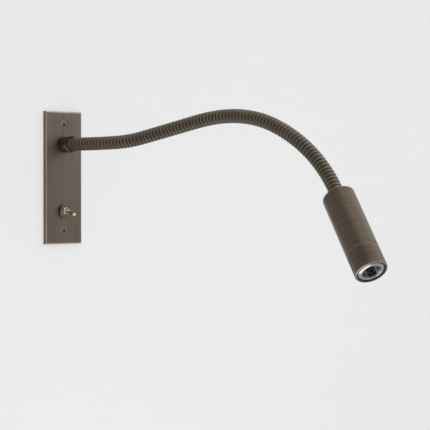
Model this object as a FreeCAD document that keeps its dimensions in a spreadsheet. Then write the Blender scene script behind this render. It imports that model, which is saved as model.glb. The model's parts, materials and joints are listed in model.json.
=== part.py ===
import FreeCAD, Part
import math
import os
import re

import Sketcher
from FreeCAD import Placement, Rotation, Vector

# Bedside wall reading lamp, in millimetres. The wall is the plane Y = 0 and the lamp stands out
# of it towards -Y, with +Z up. The origin is the middle of the back plate's rear face.

SIZES = {
    # back plate and the two screws that hold it to the wall
    "plate_height": 120,
    "plate_width": 40,
    "plate_thickness": 4,
    "plate_chamfer": 1,
    "screw_spacing": 96,
    "screw_hole": 4.5,
    "screw_sink": 8.8,
    "screw_sink_angle": 90,
    "screw_head": 8.2,
    "screw_shank": 4,
    "screw_neck": 3,
    "screw_reach": 26,
    "screw_point": 4,
    "recess_width": 1,
    "recess_length": 4.2,
    "recess_depth": 1.6,
    # root of the arm: collar, threaded nipple, washer, nut and cable bush
    "arm_height": 30,
    "collar_diameter": 14.5,
    "collar_length": 11.6,
    "collar_round": 0.8,
    "nipple_diameter": 10,
    "nipple_bore": 3.6,
    "root_nipple_tail": 9,
    "root_counterbore": 4.8,
    "root_counterbore_depth": 6,
    "spigot_length": 6,
    "washer_diameter": 17,
    "washer_thickness": 0.8,
    "nut_flats": 14,
    "nut_thickness": 3,
    "bush_flange": 8,
    "bush_flange_thickness": 1,
    "bush_sleeve_length": 5,
    # gooseneck arm: turns of the ribbed hose, and how its sections meet
    "arm_diameter": 12,
    "arm_bore": 6.4,
    "rib_pitch": 3.53,
    "rib_depth": 0.7,
    "rib_crest": 1.2,
    "arm_sides": 12,
    "hidden_turns": 1,
    "root_turns": 4,
    "section_turns": 8,
    "tip_turns": 6,
    "nose_diameter": 8,
    "nose_reach": 1.2,
    "bend_room": 27,
    # shape of the arm as the photograph shows it: each section's rise and swing, in degrees
    "rise_root": 0,
    "swing_root": 0,
    "rise_one": 0,
    "swing_one": 8,
    "rise_two": 2.5,
    "swing_two": 17,
    "rise_three": 13,
    "swing_three": 19,
    "rise_four": 12.5,
    "swing_four": 16,
    "rise_five": 12,
    "swing_five": 13,
    "rise_six": 3,
    "swing_six": 10,
    "rise_seven": -9,
    "swing_seven": 8,
    "rise_eight": -23,
    "swing_eight": 7,
    "rise_nine": -33.5,
    "swing_nine": 6,
    "rise_ten": -45,
    "swing_ten": 2.5,
    "rise_tip": -48,
    "swing_tip": -17,
    # lamp cable inside the arm
    "cable_diameter": 3,
    "cable_bend_share": 0.45,
    # toggle switch
    "switch_drop": 30,
    "bushing_diameter": 6,
    "bushing_bore": 4.5,
    "bushing_reach": 4.5,
    "bushing_tail": 3,
    "dress_nut_diameter": 12.3,
    "dress_nut_thickness": 3,
    "dress_nut_chamfer": 0.6,
    "switch_washer_diameter": 11,
    "switch_washer_thickness": 0.5,
    "switch_nut_flats": 8,
    "switch_nut_thickness": 2,
    "frame_metal": 0.4,
    "frame_arm": 6,
    "body_width": 7.9,
    "body_height": 13.2,
    "body_depth": 9,
    "lug_spacing": 4.7,
    "lug_width": 2,
    "lug_thickness": 0.8,
    "lug_length": 4,
    "lug_eye": 1.1,
    # toggle lever, measured from its pivot
    "lever_tilt": 13,
    "lever_pivot_depth": 3,
    "lever_length": 15.2,
    "lever_neck_diameter": 2.5,
    "lever_neck_start": 1.76,
    "lever_swell_start": 9.1,
    "lever_tip_diameter": 3,
    "lever_tip_start": 13.7,
    "lever_dome_start": 14.75,
    "lever_dome_diameter": 2.25,
    "lever_end_diameter": 0.9,
    "lever_ball": 3.9,
    "lever_ball_band": 0.78,
    "lever_ball_reach": 1.56,
    "lever_ball_end_diameter": 2.34,
    "lever_pin": 1,
    # head: body, front ring and what they hold, measured from the body's rear face
    "head_diameter": 26,
    "head_length": 76,
    "head_body_length": 56,
    "head_wall": 1.2,
    "head_rear_wall": 4,
    "head_rear_chamfer": 1.2,
    "head_nipple_tail": 9.5,
    "ring_spigot_length": 6,
    "ring_spigot_wall": 0.9,
    "ring_front_round": 1.4,
    "ring_front_shoulder": 0.42,
    "ring_lip_opening": 20,
    "ring_lip_thickness": 1.2,
    "line_count": 6,
    "line_spacing": 1.7,
    "line_start": 4.6,
    "line_width": 0.5,
    "line_depth": 0.3,
    "sink_length": 26,
    "sink_bore": 4.4,
    "board_diameter": 20,
    "board_thickness": 1.6,
    "emitter_base": 5.4,
    "emitter_base_thickness": 0.8,
    "emitter_dome": 4.4,
    "emitter_dome_height": 1.4,
    "emitter_shoulder": 3.5,
    "emitter_shoulder_height": 0.84,
    "emitter_top": 1.32,
    "holder_wall": 0.45,
    "holder_floor": 0.6,
    "lens_depth": 9.5,
    "lens_rim": 1.2,
    "lens_foot": 8.4,
    "lens_waist_height": 4.3,
    "lens_waist_share": 0.65,
    "lens_cavity": 5.8,
    "lens_cavity_depth": 3.5,
    "lens_well": 4.8,
    "lens_well_depth": 3,
    # facets round the turned rings, the small fittings that are out of sight and the cable
    "ring_sides": 36,
    "fitting_sides": 16,
    "cable_sides": 8,
    # clearances
    "thread_clearance": 0.05,
    "slip_clearance": 0.1,
    "pin_clearance": 0.06,
    "loose_clearance": 0.3,
}

TOUCHING = 1e-6

SECTION_NAMES = ["one", "two", "three", "four", "five", "six", "seven", "eight", "nine", "ten"]

os.makedirs("parts", exist_ok=True)
document = FreeCAD.newDocument("reading_lamp")
sheet = document.addObject("Spreadsheet::Sheet", "Sizes")
for row, (alias, number) in enumerate(SIZES.items(), start=1):
    sheet.set(f"A{row}", alias)
    sheet.set(f"B{row}", str(number))
    sheet.setAlias(f"B{row}", alias)
document.recompute()

pieces = []


def bound(formula):
    """The formula with each size's name pointed at its cell in the sheet."""
    return re.sub(r"[a-z]\w+", lambda word: "Sizes." + word[0] if word[0] in SIZES else word[0], formula)


def size(formula):
    """The number that a formula of the sheet's sizes gives."""
    return float(sheet.evalExpression(bound(formula)))


def aim(rise, swing):
    """Turn +X to point out of the wall, raised by rise and swung towards +X by swing degrees."""
    return Rotation(Vector(0, 0, 1), swing - 90) * Rotation(Vector(0, 1, 0), -rise)


OUT = aim(0, 0)
UPRIGHT_TO_ALONG = Rotation(Vector(0, 0, 1), Vector(1, 0, 0))


def keep(piece, label, place):
    """Give a finished piece its name and its place, and list it."""
    piece.Label = label
    piece.Placement = place
    pieces.append(piece)
    return piece


def sketch_in(body, name, plane, lift="0"):
    """A sketch on one of the body's own planes, lifted off it along its normal."""
    sketch = body.newObject("Sketcher::SketchObject", name)
    origin_plane = next(item for item in body.Origin.OriginFeatures if item.Role == plane)
    sketch.AttachmentSupport = [(origin_plane, "")]
    sketch.MapMode = "FlatFace"
    sketch.setExpression("AttachmentOffset.Base.z", bound(lift))
    return sketch


def hold(sketch, index, position, across, up):
    """Hold one point of a sketch at two formulas from the sketch's origin."""
    for kind, axis, formula in (("DistanceX", -2, across), ("DistanceY", -1, up)):
        if formula == "0":
            sketch.addConstraint(Sketcher.Constraint("PointOnObject", index, position, axis))
            continue
        number = sketch.addConstraint(
            Sketcher.Constraint(kind, -1, 1, index, position, size(formula))
        )
        sketch.setExpression(f"Constraints[{number}]", bound(formula))


def outline(sketch, corners):
    """A closed outline of straight lines through corners that formulas place."""
    points = [Vector(size(across), size(up), 0) for across, up in corners]
    for here, there in zip(points, points[1:] + points[:1]):
        sketch.addGeometry(Part.LineSegment(here, there), False)
    for index, (across, up) in enumerate(corners):
        following = (index + 1) % len(corners)
        sketch.addConstraint(Sketcher.Constraint("Coincident", index, 2, following, 1))
        hold(sketch, index, 1, across, up)


def circle(sketch, across, up, radius):
    """A circle whose centre and radius formulas give."""
    centre = Vector(size(across), size(up), 0)
    index = sketch.addGeometry(Part.Circle(centre, Vector(0, 0, 1), size(radius)), False)
    hold(sketch, index, 3, across, up)
    number = sketch.addConstraint(Sketcher.Constraint("Radius", index, size(radius)))
    sketch.setExpression(f"Constraints[{number}]", bound(radius))


def turned(name, corners):
    """A body turned about its own X axis: each corner is a length along it and a radius."""
    body = document.addObject("PartDesign::Body", name)
    section = sketch_in(body, name + "_section", "XY_Plane")
    outline(section, corners)
    turning = body.newObject("PartDesign::Revolution", name + "_turning")
    turning.Profile = section
    turning.ReferenceAxis = (section, ["H_Axis"])
    turning.Angle = 360
    document.recompute()
    return body


def ring(name, start, end, inner, outer):
    """A plain turned ring between two lengths and two radii."""
    return turned(name, [(start, inner), (start, outer), (end, outer), (end, inner)])


def faceted_turning(corners, sides):
    """A closed solid turned about the X axis, with flat facets in place of a round surface."""
    rings = [
        [
            Vector(along, radius * math.cos(math.tau * step / sides),
                   radius * math.sin(math.tau * step / sides))
            for step in range(sides)
        ]
        for along, radius in corners
    ]
    facets = []
    for near, far in zip(rings, rings[1:] + rings[:1]):
        for step in range(sides):
            after = (step + 1) % sides
            edge = []
            for point in (near[step], near[after], far[after], far[step]):
                if not any(point.isEqual(other, TOUCHING) for other in edge):
                    edge.append(point)
            if len(edge) > 2:
                facets.append(Part.Face(Part.makePolygon(edge + edge[:1])))
    shell = Part.Shell(facets)
    shell.sewShape()
    solid = Part.Solid(shell)
    return solid if solid.Volume > 0 else solid.reversed()


def faceted(name, corners, sides="fitting_sides"):
    """A faceted piece turned about its own X axis: each corner is a length along it and a radius."""
    piece = document.addObject("Part::Feature", name)
    places = [(size(along), size(radius)) for along, radius in corners]
    piece.Shape = faceted_turning(places, round(size(sides)))
    return piece


def faceted_ring(name, start, end, inner, outer):
    """A plain faceted ring between two lengths and two radii."""
    return faceted(name, [(start, inner), (start, outer), (end, outer), (end, inner)])


def hexagon_nut(name, flats, thickness, hole):
    """A hexagon nut that stands on its own XY plane. Its hole's flats clear a round thread."""
    blank = document.addObject("Part::Prism", name + "_blank")
    blank.Polygon = 6
    blank.setExpression("Circumradius", bound(f"{flats} / 2 / cos(30)"))
    blank.setExpression("Height", bound(thickness))
    hole_tool = document.addObject("Part::Prism", name + "_hole")
    hole_tool.setExpression("Polygon", bound("fitting_sides"))
    hole_tool.setExpression("Circumradius", bound(f"({hole}) / cos(180 / fitting_sides)"))
    hole_tool.setExpression("Height", bound(thickness))
    nut = document.addObject("Part::Cut", name)
    nut.Base = blank
    nut.Tool = hole_tool
    return nut


# Back plate: a flat bar, chamfered round its front face, with the countersunk screw holes near
# its ends, the arm's hole above the middle and the switch's hole below it.
def back_plate():
    body = document.addObject("PartDesign::Body", "back_plate")
    face = sketch_in(body, "plate_face", "XZ_Plane")
    left, right = "-plate_width / 2", "plate_width / 2"
    low, high = "-plate_height / 2", "plate_height / 2"
    outline(face, [(left, low), (right, low), (right, high), (left, high)])
    bar = body.newObject("PartDesign::Pad", "plate_bar")
    bar.Profile = face
    bar.setExpression("Length", bound("plate_thickness"))
    document.recompute()
    front = -size("plate_thickness")
    edges = [
        f"Edge{number}"
        for number, edge in enumerate(bar.Shape.Edges, start=1)
        if all(abs(vertex.Y - front) < TOUCHING for vertex in edge.Vertexes)
    ]
    chamfer = body.newObject("PartDesign::Chamfer", "plate_front_chamfer")
    chamfer.Base = (bar, edges)
    chamfer.setExpression("Size", bound("plate_chamfer"))
    document.recompute()
    holes = sketch_in(body, "plate_holes", "XZ_Plane")
    circle(holes, "0", "arm_height", "nipple_diameter / 2 + slip_clearance")
    circle(holes, "0", "-switch_drop", "bushing_diameter / 2 + slip_clearance")
    drilled = body.newObject("PartDesign::Pocket", "plate_drilling")
    drilled.Profile = holes
    drilled.Type = "ThroughAll"
    drilled.Reversed = True
    document.recompute()
    centres = sketch_in(body, "screw_centres", "XZ_Plane", "plate_thickness")
    circle(centres, "0", "screw_spacing / 2", "screw_hole / 2")
    circle(centres, "0", "-screw_spacing / 2", "screw_hole / 2")
    document.recompute()
    sunk = body.newObject("PartDesign::Hole", "screw_holes")
    sunk.Profile = centres
    document.recompute()
    sunk.ThreadType = "None"
    sunk.DepthType = "ThroughAll"
    sunk.setExpression("Diameter", bound("screw_hole"))
    sunk.HoleCutType = "Countersink"
    sunk.HoleCutCustomValues = True
    sunk.setExpression("HoleCutDiameter", bound("screw_sink"))
    sunk.setExpression("HoleCutCountersinkAngle", bound("screw_sink_angle"))
    document.recompute()
    keep(body, "back_plate", Placement())


# Two countersunk wood screws with a cross recess. Each has a slimmer neck inside the plate, and
# its threaded shank starts at the wall.
def fixing_screws():
    head_depth = "(screw_head - screw_neck) / 2"
    face = "plate_thickness - slip_clearance"
    stock = turned(
        "screw_stock",
        [
            ("-screw_reach - screw_point", "0"),
            ("-screw_reach", "screw_shank / 2"),
            ("0", "screw_shank / 2"),
            ("0", "screw_neck / 2"),
            (f"{face} - {head_depth}", "screw_neck / 2"),
            (face, "screw_head / 2"),
            (face, "0"),
        ],
    )
    slots = []
    for name, wide, tall in (("level", "recess_length", "recess_width"),
                             ("upright", "recess_width", "recess_length")):
        slot = document.addObject("Part::Box", "recess_" + name)
        slot.setExpression("Length", bound("recess_depth"))
        slot.setExpression("Width", bound(wide))
        slot.setExpression("Height", bound(tall))
        slot.setExpression("Placement.Base.x", bound(f"{face} - recess_depth"))
        slot.setExpression("Placement.Base.y", bound(f"-{wide} / 2"))
        slot.setExpression("Placement.Base.z", bound(f"-{tall} / 2"))
        slots.append(slot)
    cross = document.addObject("Part::MultiFuse", "recess_cross")
    cross.Shapes = slots
    screw = document.addObject("Part::Cut", "screw")
    screw.Base = stock
    screw.Tool = cross
    document.recompute()
    pair = document.addObject("Part::Feature", "fixing_screws")
    half = size("screw_spacing / 2")
    pair.Shape = Part.makeCompound(
        [
            screw.Shape.transformed(Placement(Vector(0, 0, level), OUT).toMatrix())
            for level in (half, -half)
        ]
    )
    keep(pair, "fixing_screws", Placement())


# Root of the arm. The hose is brazed to a threaded nipple, which goes through the plate and is
# drawn up by a washer and a nut behind it. The collar covers the thread in front.
COLLAR_FRONT = "(plate_thickness + collar_length)"
HOSE_START = f"({COLLAR_FRONT} - hidden_turns * rib_pitch)"


def root_place(length="0"):
    """A place on the arm root's axis, at a length out of the plate's rear face."""
    return Placement(Vector(0, -size(length), size("arm_height")), OUT)


def arm_root_fittings():
    collar = faceted(
        "arm_collar",
        [
            ("plate_thickness", "nipple_diameter / 2 + thread_clearance"),
            ("plate_thickness", "collar_diameter / 2"),
            (f"{COLLAR_FRONT} - collar_round", "collar_diameter / 2"),
            (COLLAR_FRONT, "collar_diameter / 2 - collar_round"),
            (COLLAR_FRONT, "arm_diameter / 2 + loose_clearance"),
            (f"{HOSE_START} - loose_clearance", "arm_diameter / 2 + loose_clearance"),
            (f"{HOSE_START} - loose_clearance", "nipple_diameter / 2 + thread_clearance"),
        ],
        "ring_sides",
    )
    keep(collar, "arm_collar", root_place())
    nipple = faceted(
        "arm_root_nipple",
        [
            ("-root_nipple_tail", "root_counterbore / 2"),
            ("-root_nipple_tail", "nipple_diameter / 2"),
            (HOSE_START, "nipple_diameter / 2"),
            (HOSE_START, "arm_bore / 2 - loose_clearance"),
            (f"{HOSE_START} + spigot_length", "arm_bore / 2 - loose_clearance"),
            (f"{HOSE_START} + spigot_length", "nipple_bore / 2"),
            ("root_counterbore_depth - root_nipple_tail", "nipple_bore / 2"),
            ("root_counterbore_depth - root_nipple_tail", "root_counterbore / 2"),
        ],
    )
    keep(nipple, "arm_root_nipple", root_place())
    inner = "nipple_diameter / 2 + slip_clearance"
    washer = faceted_ring("arm_root_washer", "-washer_thickness", "0", inner, "washer_diameter / 2")
    keep(washer, "arm_root_washer", root_place())
    nut = hexagon_nut("arm_root_nut", "nut_flats", "nut_thickness",
                      "nipple_diameter / 2 + thread_clearance")
    behind = root_place("-washer_thickness - nut_thickness")
    keep(nut, "arm_root_nut", Placement(behind.Base, OUT * UPRIGHT_TO_ALONG))
    bush = faceted(
        "cable_bush",
        [
            ("-root_nipple_tail - bush_flange_thickness", "cable_diameter / 2 + slip_clearance"),
            ("-root_nipple_tail - bush_flange_thickness", "bush_flange / 2"),
            ("-root_nipple_tail", "bush_flange / 2"),
            ("-root_nipple_tail", "root_counterbore / 2 - thread_clearance"),
            ("bush_sleeve_length - root_nipple_tail", "root_counterbore / 2 - thread_clearance"),
            ("bush_sleeve_length - root_nipple_tail", "cable_diameter / 2 + slip_clearance"),
        ],
    )
    keep(bush, "cable_bush", root_place())


# Gooseneck: a ribbed hose of many turns. It bends where its sections meet, each by a nose that
# turns about the joint's centre inside the next section's socket. The ribs are faceted.
def rib_line(start, end, turns):
    """Corners of the ribs between two lengths: each rib has two flanks and a flat crest."""
    pitch = (end - start) / turns
    flank = (pitch - size("rib_crest")) / 2
    crest = size("arm_diameter / 2")
    groove = size("arm_diameter / 2 - rib_depth")
    corners = [(start, groove)]
    for turn in range(round(turns)):
        foot = start + turn * pitch
        corners += [(foot + flank, crest), (foot + pitch - flank, crest), (foot + pitch, groove)]
    return corners


def arm_section(label, turns, place, socket, nose):
    """One stretch of the hose, from the joint behind it (or its end) to the joint before it."""
    groove = size("arm_diameter / 2 - rib_depth")
    room = math.radians(size("bend_room"))
    half_gap = groove * math.tan(room / 2) + size("loose_clearance / 2")
    nose_radius = size("nose_diameter / 2")
    nose_reach = size("nose_reach")
    bore = size("arm_bore / 2")
    socket_depth = nose_reach * math.cos(room) + nose_radius * math.sin(room) + size("loose_clearance")
    socket_radius = nose_radius / math.cos(math.pi / size("arm_sides")) + size("loose_clearance")
    length = turns * size("rib_pitch")
    start = half_gap if socket else 0
    end = length - half_gap if nose else length
    corners = rib_line(start, end, turns)
    if nose:
        corners += [(end, nose_radius), (length + nose_reach, nose_radius), (length + nose_reach, bore)]
    else:
        corners += [(end, bore)]
    if socket:
        corners += [(socket_depth, bore), (socket_depth, socket_radius), (start, socket_radius)]
    else:
        corners += [(start, bore)]
    piece = document.addObject("Part::Feature", label)
    piece.Shape = faceted_turning(corners, round(size("arm_sides")))
    keep(piece, label, place)


def gooseneck():
    """The whole arm. Returns its joints' centres and the place of the head's rear face."""
    start = Vector(0, -size(HOSE_START), size("arm_height"))
    root_turns = size("root_turns + hidden_turns")
    stretches = [("arm_section_root", "root", root_turns)]
    for number, name in enumerate(SECTION_NAMES, start=1):
        stretches.append((f"arm_section_{number:02d}", name, size("section_turns")))
    stretches.append(("arm_section_tip", "tip", size("tip_turns")))
    joints = []
    for label, name, turns in stretches:
        direction = aim(size("rise_" + name), size("swing_" + name))
        arm_section(label, turns, Placement(start, direction), name != "root", name != "tip")
        start = start + direction.multVec(Vector(turns * size("rib_pitch"), 0, 0))
        joints.append(start)
    return joints[:-1], Placement(start, direction)


# Lamp cable: one lead inside the arm, from the bush behind the plate to the light board. It runs
# straight between the arm's joints, with an arc at each.
def lamp_cable(joints, head):
    tail = root_place("-root_nipple_tail - bush_flange_thickness").Base
    end = head.multVec(Vector(size(BOARD_REAR), 0, 0))
    points = [tail] + joints + [end]
    runs = [there - here for here, there in zip(points, points[1:])]
    edges = []
    start = tail
    for corner, arriving, leaving in zip(joints, runs, runs[1:]):
        shorter = min(arriving.Length, leaving.Length)
        half_turn = arriving.getAngle(leaving) / 2
        reach = size("cable_bend_share") * shorter
        radius = reach / math.tan(half_turn)
        into = Vector(arriving).normalize()
        out = Vector(leaving).normalize()
        first, last = corner - into * reach, corner + out * reach
        inward = (out - into).normalize()
        middle = corner + inward * radius * (1 / math.cos(half_turn) - 1)
        edges += [Part.LineSegment(start, first).toShape(), Part.Arc(first, middle, last).toShape()]
        start = last
        print(f"cable turn of {math.degrees(2 * half_turn):.1f} degrees on a radius of {radius:.0f}")
    edges.append(Part.LineSegment(start, end).toShape())
    route = Part.Wire(edges)
    radius = size("cable_diameter / 2")
    sides = round(size("cable_sides"))
    across = Vector(0, 0, radius)
    rim = [Rotation(runs[0], 360 * side / sides).multVec(across) for side in range(sides)]
    section = Part.makePolygon([tail + point for point in rim + rim[:1]])
    cable = document.addObject("Part::Feature", "lamp_cable")
    cable.Shape = route.makePipeShell([section], True, False)
    expected = sides / 2 * math.sin(math.tau / sides) * radius ** 2 * route.Length
    print(f"cable {route.Length:.1f} long, volume {cable.Shape.Volume / expected:.5f} of its section's")
    keep(cable, "lamp_cable", Placement())


# Toggle switch: a threaded bushing clamped through the plate between a round dress nut in front
# and a hexagon nut behind, with the switch's body held to it by a folded metal frame.
def switch_place(length="0", sideways=OUT):
    """A place on the switch's axis, at a length out of the plate's rear face."""
    return Placement(Vector(0, -size(length), -size("switch_drop")), sideways)


BUSHING_FRONT = "(plate_thickness + bushing_reach)"
LEVER_PIVOT = f"({BUSHING_FRONT} - lever_pivot_depth)"


def switch_mounting():
    barrel = ring("bushing_barrel", "-bushing_tail", BUSHING_FRONT, "bushing_bore / 2",
                  "bushing_diameter / 2")
    pin_hole = document.addObject("Part::Cylinder", "bushing_pin_hole")
    pin_hole.setExpression("Radius", bound("lever_pin / 2 + slip_clearance / 2"))
    pin_hole.setExpression("Height", bound("2 * bushing_diameter"))
    pin_hole.Placement = Placement(
        Vector(size(LEVER_PIVOT), size("bushing_diameter"), 0), Rotation(Vector(1, 0, 0), 90)
    )
    bushing = document.addObject("Part::Cut", "switch_bushing")
    bushing.Base = barrel
    bushing.Tool = pin_hole
    keep(bushing, "switch_bushing", switch_place())
    thread = "bushing_diameter / 2 + thread_clearance"
    nut_front = "plate_thickness + dress_nut_thickness"
    dress_nut = faceted(
        "switch_dress_nut",
        [
            ("plate_thickness", thread),
            ("plate_thickness", "dress_nut_diameter / 2"),
            (f"{nut_front} - dress_nut_chamfer", "dress_nut_diameter / 2"),
            (nut_front, "dress_nut_diameter / 2 - dress_nut_chamfer"),
            (nut_front, thread),
        ],
        "ring_sides",
    )
    keep(dress_nut, "switch_dress_nut", switch_place())
    washer = faceted_ring("switch_washer", "-switch_washer_thickness", "0",
                          "bushing_diameter / 2 + slip_clearance", "switch_washer_diameter / 2")
    keep(washer, "switch_washer", switch_place())
    nut = hexagon_nut("switch_hex_nut", "switch_nut_flats", "switch_nut_thickness", thread)
    behind = switch_place("-switch_washer_thickness - switch_nut_thickness", OUT * UPRIGHT_TO_ALONG)
    keep(nut, "switch_hex_nut", behind)
    pin = document.addObject("Part::Cylinder", "lever_pin")
    pin.setExpression("Radius", bound("lever_pin / 2"))
    pin.setExpression("Height", bound("bushing_diameter - 2 * slip_clearance"))
    middle = switch_place(LEVER_PIVOT, Rotation(Vector(0, 0, 1), Vector(1, 0, 0)))
    middle.Base.x = -size("bushing_diameter / 2 - slip_clearance")
    keep(pin, "lever_pin", middle)


def box(name, width, depth, height):
    """A block centred across X and Z, whose front face lies in Y = 0."""
    block = document.addObject("Part::Box", name)
    block.setExpression("Length", bound(width))
    block.setExpression("Width", bound(depth))
    block.setExpression("Height", bound(height))
    block.setExpression("Placement.Base.x", bound(f"-({width}) / 2"))
    block.setExpression("Placement.Base.z", bound(f"-({height}) / 2"))
    return block


def switch_housing():
    folded_height = "body_height + 2 * frame_metal + 2 * thread_clearance"
    channel = box("frame_channel", "body_width", "frame_metal + frame_arm", folded_height)
    hollow = box("frame_hollow", "2 * body_width", "frame_metal + frame_arm",
                 "body_height + 2 * thread_clearance")
    hollow.setExpression("Placement.Base.y", bound("frame_metal"))
    frame = document.addObject("Part::Cut", "switch_frame")
    frame.Base = channel
    frame.Tool = hollow
    keep(frame, "switch_frame", switch_place("-bushing_tail", Rotation()))
    block = box("body_block", "body_width", "body_depth", "body_height")
    body = document.addObject("Part::Compound", "switch_body")
    body.Links = [block]
    keep(body, "switch_body", switch_place("-bushing_tail - frame_metal", Rotation()))
    lugs = []
    for name, level in (("upper", "lug_spacing"), ("middle", "0"), ("lower", "-lug_spacing")):
        strip = box(f"lug_{name}_strip", "lug_width", "lug_length", "lug_thickness")
        eye = document.addObject("Part::Prism", f"lug_{name}_eye")
        eye.setExpression("Polygon", bound("cable_sides"))
        eye.setExpression("Circumradius", bound("lug_eye / 2"))
        eye.setExpression("Height", bound("lug_thickness"))
        eye.setExpression("Placement.Base.y", bound("lug_length - lug_width / 2"))
        eye.setExpression("Placement.Base.z", bound("-lug_thickness / 2"))
        lug = document.addObject("Part::Cut", f"lug_{name}")
        lug.Base = strip
        lug.Tool = eye
        lug.setExpression("Placement.Base.z", bound(level))
        lugs.append(lug)
    terminals = document.addObject("Part::Compound", "switch_terminals")
    terminals.Links = lugs
    rear = "-bushing_tail - frame_metal - body_depth"
    keep(terminals, "switch_terminals", switch_place(rear, Rotation()))


# Lever: a turned bat that swells to a domed tip, with a ball that turns on the cross pin.
def toggle_lever():
    neck = "lever_neck_diameter / 2"
    bat = faceted(
        "lever_bat",
        [
            ("-lever_ball_reach", "0"),
            ("-lever_ball_reach", "lever_ball_end_diameter / 2"),
            ("-lever_ball_band", "lever_ball / 2"),
            ("lever_ball_band", "lever_ball / 2"),
            ("lever_neck_start", neck),
            ("lever_swell_start", neck),
            ("lever_tip_start", "lever_tip_diameter / 2"),
            ("lever_dome_start", "lever_dome_diameter / 2"),
            ("lever_length", "lever_end_diameter / 2"),
            ("lever_length", "0"),
        ],
    )
    hole = document.addObject("Part::Cylinder", "lever_pin_hole")
    hole.setExpression("Radius", bound("lever_pin / 2 + pin_clearance"))
    hole.setExpression("Height", bound("2 * lever_ball"))
    hole.Placement = Placement(Vector(0, size("lever_ball"), 0), Rotation(Vector(1, 0, 0), 90))
    lever = document.addObject("Part::Cut", "toggle_lever")
    lever.Base = bat
    lever.Tool = hole
    keep(lever, "toggle_lever", switch_place(LEVER_PIVOT, aim(-size("lever_tilt"), 0)))


# Head: a turned body closed at the rear, drawn onto the arm's tip nipple by a washer and a nut,
# with a front ring that slides in and holds the lens over the light board and its heat sink.
LIP_REAR = "(head_length - ring_lip_thickness)"
LENS_FRONT = f"({LIP_REAR} - loose_clearance)"
HOLDER_REAR = f"({LENS_FRONT} - lens_depth - holder_floor)"
BOARD_REAR = f"({HOLDER_REAR} - board_thickness)"
HEAD_BORE = "(head_diameter / 2 - head_wall)"
SPIGOT_RADIUS = f"({HEAD_BORE} - thread_clearance)"
RING_BORE = f"({SPIGOT_RADIUS} - ring_spigot_wall)"
SPIGOT_REAR = "(head_body_length - ring_spigot_length)"


def head_shell(head):
    hole = "nipple_diameter / 2 + slip_clearance"
    body = turned(
        "head_body",
        [
            ("0", hole),
            ("0", "head_diameter / 2 - head_rear_chamfer"),
            ("head_rear_chamfer", "head_diameter / 2"),
            ("head_body_length", "head_diameter / 2"),
            ("head_body_length", HEAD_BORE),
            ("head_rear_wall", HEAD_BORE),
            ("head_rear_wall", hole),
        ],
    )
    keep(body, "head_body", head)
    nipple = faceted(
        "head_nipple",
        [
            ("-spigot_length", "nipple_bore / 2"),
            ("-spigot_length", "arm_bore / 2 - loose_clearance"),
            ("0", "arm_bore / 2 - loose_clearance"),
            ("0", "nipple_diameter / 2"),
            ("head_nipple_tail", "nipple_diameter / 2"),
            ("head_nipple_tail", "nipple_bore / 2"),
        ],
    )
    keep(nipple, "head_nipple", head)
    washer = faceted_ring("head_washer", "head_rear_wall", "head_rear_wall + washer_thickness",
                          hole, "washer_diameter / 2")
    keep(washer, "head_washer", head)
    nut = hexagon_nut("head_nut", "nut_flats", "nut_thickness",
                      "nipple_diameter / 2 + thread_clearance")
    seat = head.multVec(Vector(size("head_rear_wall + washer_thickness"), 0, 0))
    keep(nut, "head_nut", Placement(seat, head.Rotation * UPRIGHT_TO_ALONG))


def front_ring(head):
    rim = "head_diameter / 2"
    corners = [
        (SPIGOT_REAR, RING_BORE),
        (SPIGOT_REAR, SPIGOT_RADIUS),
        ("head_body_length", SPIGOT_RADIUS),
        ("head_body_length", rim),
    ]
    for line in range(round(size("line_count"))):
        middle = f"head_body_length + line_start + {line} * line_spacing"
        corners += [
            (f"{middle} - line_width / 2", rim),
            (middle, f"{rim} - line_depth"),
            (f"{middle} + line_width / 2", rim),
        ]
    corners += [
        ("head_length - ring_front_round", rim),
        ("head_length - ring_front_shoulder", f"{rim} - ring_front_shoulder"),
        ("head_length", f"{rim} - ring_front_round"),
        ("head_length", "ring_lip_opening / 2"),
        (LIP_REAR, "ring_lip_opening / 2"),
        (LIP_REAR, RING_BORE),
    ]
    body = faceted("front_ring", corners, "ring_sides")
    keep(body, "front_ring", head)


def light_source(head):
    wide, slim = f"{HEAD_BORE} - loose_clearance", f"{RING_BORE} - loose_clearance"
    step = f"{SPIGOT_REAR} - loose_clearance"
    sink = faceted(
        "heat_sink",
        [
            (f"{BOARD_REAR} - sink_length", "sink_bore / 2"),
            (f"{BOARD_REAR} - sink_length", wide),
            (step, wide),
            (step, slim),
            (BOARD_REAR, slim),
            (BOARD_REAR, "sink_bore / 2"),
        ],
    )
    keep(sink, "heat_sink", head)
    board = faceted(
        "led_board",
        [
            (BOARD_REAR, "0"),
            (BOARD_REAR, "board_diameter / 2"),
            (HOLDER_REAR, "board_diameter / 2"),
            (HOLDER_REAR, "0"),
        ],
    )
    keep(board, "led_board", head)
    base_front = f"{HOLDER_REAR} + emitter_base_thickness"
    emitter = faceted(
        "led_emitter",
        [
            (HOLDER_REAR, "0"),
            (HOLDER_REAR, "emitter_base / 2"),
            (base_front, "emitter_base / 2"),
            (base_front, "emitter_dome / 2"),
            (f"{base_front} + emitter_shoulder_height", "emitter_shoulder / 2"),
            (f"{base_front} + emitter_dome_height", "emitter_top / 2"),
            (f"{base_front} + emitter_dome_height", "0"),
        ],
    )
    keep(emitter, "led_emitter", head)


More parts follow.
